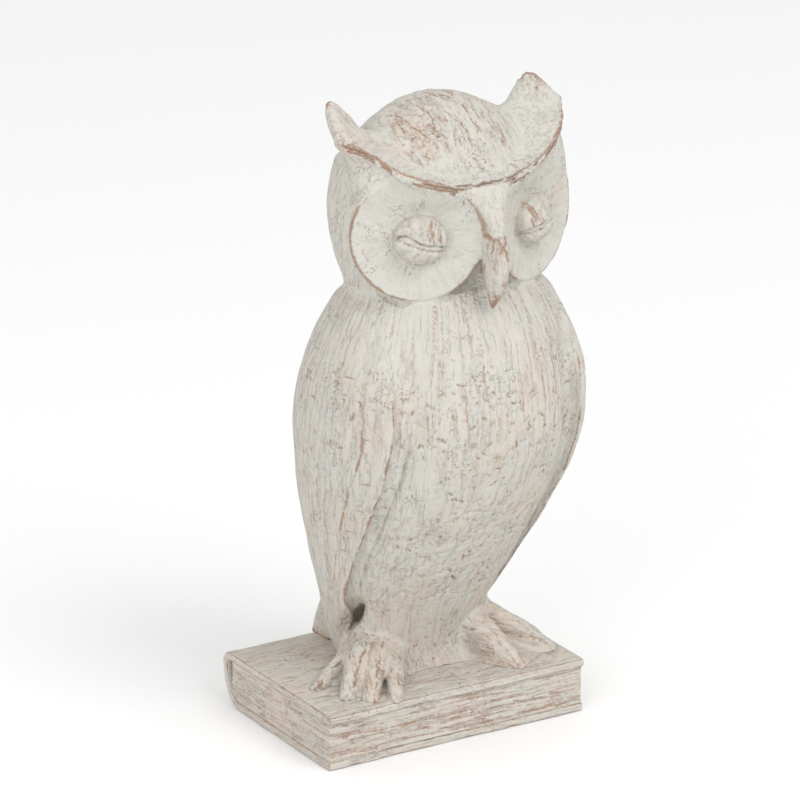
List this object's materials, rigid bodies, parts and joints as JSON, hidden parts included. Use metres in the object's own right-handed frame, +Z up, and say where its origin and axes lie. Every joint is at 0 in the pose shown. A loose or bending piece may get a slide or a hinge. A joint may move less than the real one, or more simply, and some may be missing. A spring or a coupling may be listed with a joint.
{
  "type": "owl figurine",
  "caption": "Owl with closed eyes and ear tufts, standing on a closed book, carved in rounded forms with a whitewashed, worn finish.",
  "frame": {"origin": "middle of the book's underside", "axes": "+Z up, the owl faces -Y, +X to the right as seen from the front"},
  "size_m": [0.1356, 0.1269, 0.2993],
  "materials": {
    "whitewash": "matt, chalky whitewash over brown, worn on the edges",
    "worn_whitewash": "matt, thin whitewash with brown showing through",
    "page_edges": "matt whitewash in grooves like page edges"
  },
  "bodies": {
    "root": {"bottom_board": "whitewash", "top_board": "whitewash", "spine": "whitewash", "torso": "whitewash", "tail": "whitewash", "right_wing": "whitewash", "left_wing": "whitewash", "crown": "whitewash", "brow_ridge": "whitewash", "right_ear_tuft": "whitewash", "left_ear_tuft": "whitewash", "right_face_disc": "whitewash", "left_face_disc": "whitewash", "right_upper_eyelid": "whitewash", "left_upper_eyelid": "whitewash", "right_lower_eyelid": "whitewash", "left_lower_eyelid": "whitewash", "nasal_bridge": "whitewash", "skull": "whitewash", "left_foot": "whitewash", "right_foot": "whitewash", "beak": "worn_whitewash", "left_toe_outer": "worn_whitewash", "left_toe_second": "worn_whitewash", "left_toe_third": "worn_whitewash", "left_toe_inner": "worn_whitewash", "right_toe_outer": "worn_whitewash", "right_toe_middle": "worn_whitewash", "right_toe_inner": "worn_whitewash", "page_block": "page_edges"}
  },
  "joints": []
}
